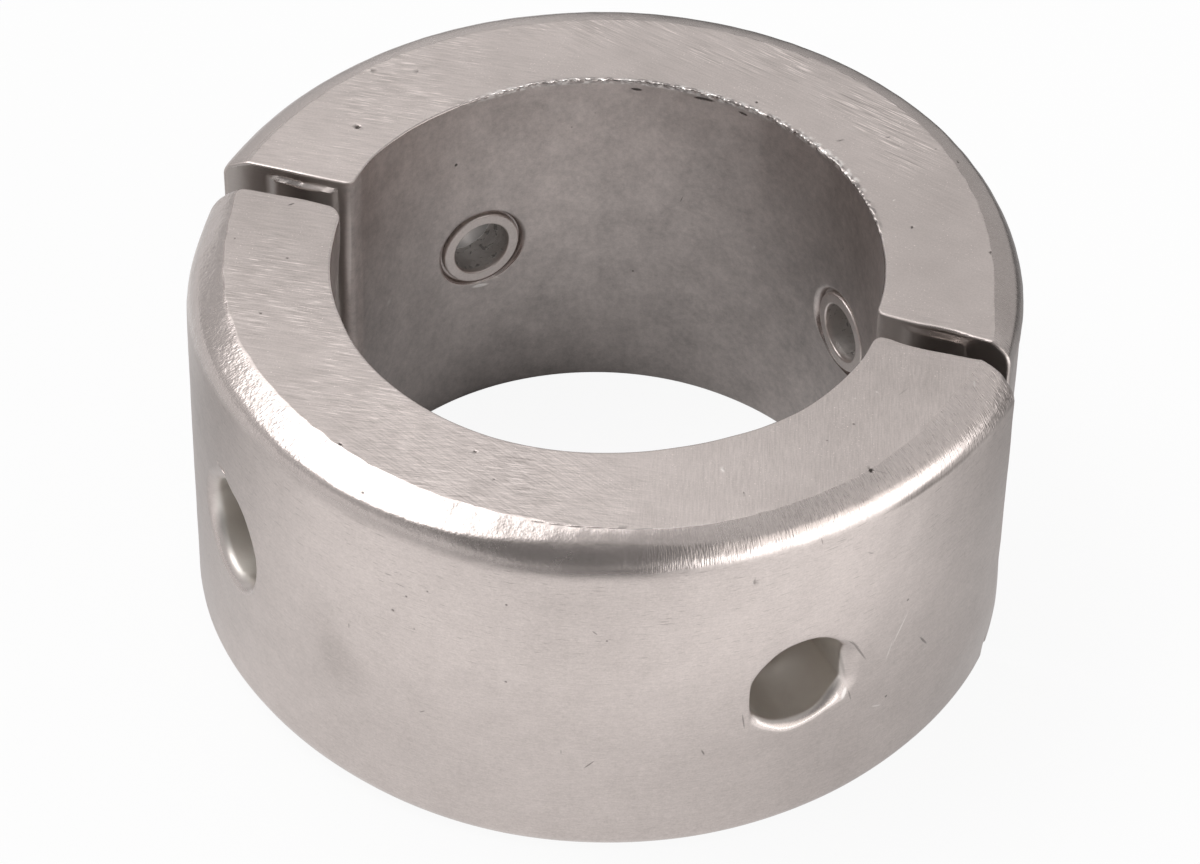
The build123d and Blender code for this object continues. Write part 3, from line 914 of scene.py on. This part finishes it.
# Floor, light and camera
studio = {
    "floorSize": 3,
    "room": 0.507,  # brightness all round
    "shade": (279, 30, 14, 42, 0.2),  # darker part behind the camera: azimuth and height above the horizon, full
    # within and gone beyond, all in degrees, and brightness
    "boxes": [  # soft boxes: the same and a colour, but the brightness is added
        (150, 60, 6, 22, 1.92, (1, 1, 1)),
        (195, 60, 6, 22, 3, (1, 1, 1)),
        (120, 60, 6, 22, 0.48, (1, 1, 1)),
        (195, 32, 10, 34, 0.17, (1, 1, 1)),
        (90, 20, 20, 60, 0.18, (1, 1, 1)),
        (350, 8, 12, 36, 0.95, (1, 0.97, 0.93)),
    ],
    "glowFrom": 35,
    "glow": [  # floor from the collar out: up to this radius in mm, plain brightness, then lobes as azimuth, full
        # within, gone beyond and what they add
        (62, 0.66, [(262, 20, 70, 0.26)]),
        (95, 0.39, [(135, 20, 60, 0.52), (285, 40, 100, 0.87)]),
        (125, 0.455, [(180, 40, 100, 0.27), (345, 20, 50, 0.35)]),
        (200, 0.3, [(180, 40, 100, 0.4), (345, 18, 44, 2.2)]),
        (1500, 0.12, [(200, 40, 100, 0.7), (345, 18, 44, 3)]),
    ],
    "boreGlow": (0.6, 316, 0.018),  # floor inside the bore: middle, brighter towards, by how much a millimetre
}


def towards(azimuth, elevation):
    a, e = math.radians(azimuth), math.radians(elevation)
    return Vector((math.cos(a) * math.cos(e), math.sin(a) * math.cos(e), math.sin(e)))


def makeFloor():
    mesh = bpy.data.meshes.new("floor")
    half = studio["floorSize"] / 2
    corners = [(sx * half, sy * half, 0) for sx, sy in ((-1, -1), (1, -1), (1, 1), (-1, 1))]
    mesh.from_pydata(corners, [], [(0, 1, 2, 3)])
    floor = bpy.data.objects.new("floor", mesh)
    scene.collection.objects.link(floor)
    material = bpy.data.materials.new("white_floor")
    f = Finish(material)
    seen, through, mirrored = [f.node("LightPath", output=f"Is {kind} Ray")
                               for kind in ("Camera", "Transmission", "Glossy")]
    seen = seen.maths("MAXIMUM", through)
    x, y, z = f.split(f.inMm())
    out = (x * x + y * y) ** 0.5
    middle, brighter, slope = studio["boreGlow"]
    shine = middle + (x * cosine(brighter) + y * cosine(brighter - 90)) * slope
    start = studio["glowFrom"]
    for reach, plain, lobes in studio["glow"]:
        band = plain
        for azimuth, full, gone, added in lobes:
            facing = (x * cosine(azimuth) + y * cosine(azimuth - 90)) / out
            band = facing.step(cosine(gone), cosine(full)) * added + band
        share = out.step(start * 0.93, start * 1.08)
        shine = shine * (1 - share) + share * band
        start = reach
    colour = f.mix(seen, f.join(shine, shine, shine), (1, 1, 1, 1))
    glow = f.node("Emission", None, {"Color": colour, "Strength": 1})
    paint = f.node("BsdfDiffuse", None, {"Color": (0.9, 0.9, 0.9, 1)})
    both = f.node("MixShader", None, {0: seen * 0.92 + mirrored, 1: paint, 2: glow})
    f.node("OutputMaterial", None, {"Surface": both})
    material.cycles.emission_sampling = "NONE"
    mesh.materials.append(material)


def makeWorld():
    world = bpy.data.worlds.new("studio")
    f = Finish(world)
    direction = f.node("TexCoord", output="Generated")

    def facing(azimuth, elevation, full, gone):
        return f.vector("DOT_PRODUCT", direction, towards(azimuth, elevation)).step(cosine(gone), cosine(full))

    *place, dark = studio["shade"]
    light = f.mix(facing(*place), (studio["room"],) * 3 + (1,), (dark,) * 3 + (1,))
    for *place, added, colour in studio["boxes"]:
        light = f.mix(facing(*place), light, tuple(added * c for c in colour) + (1,), "ADD")
    light = f.mix(f.node("LightPath", output="Is Camera Ray"), light, (1, 1, 1, 1))
    sky = f.node("Background", None, {"Color": light, "Strength": 1})
    f.node("OutputWorld", None, {"Surface": sky})
    world.cycles.sampling_method = "NONE"  # the boxes are soft, so reflections find them
    scene.world = world


makeFloor()
makeWorld()

camera = {
    "place": (0.112898, -0.347465, 0.358764),
    "turn": (46.966, -1.0667, 19.034),
    "lens": 143.67,
}
cameraData = bpy.data.cameras.new("camera")
cameraData.lens, cameraData.sensor_width = camera["lens"], 36
cameraData.clip_start, cameraData.clip_end = 0.01, 20
eye = bpy.data.objects.new("camera", cameraData)
eye.location = camera["place"]
eye.rotation_euler = [math.radians(a) for a in camera["turn"]]
scene.collection.objects.link(eye)
scene.camera = eye
scene.view_settings.view_transform = "Standard"

print("collar ready")
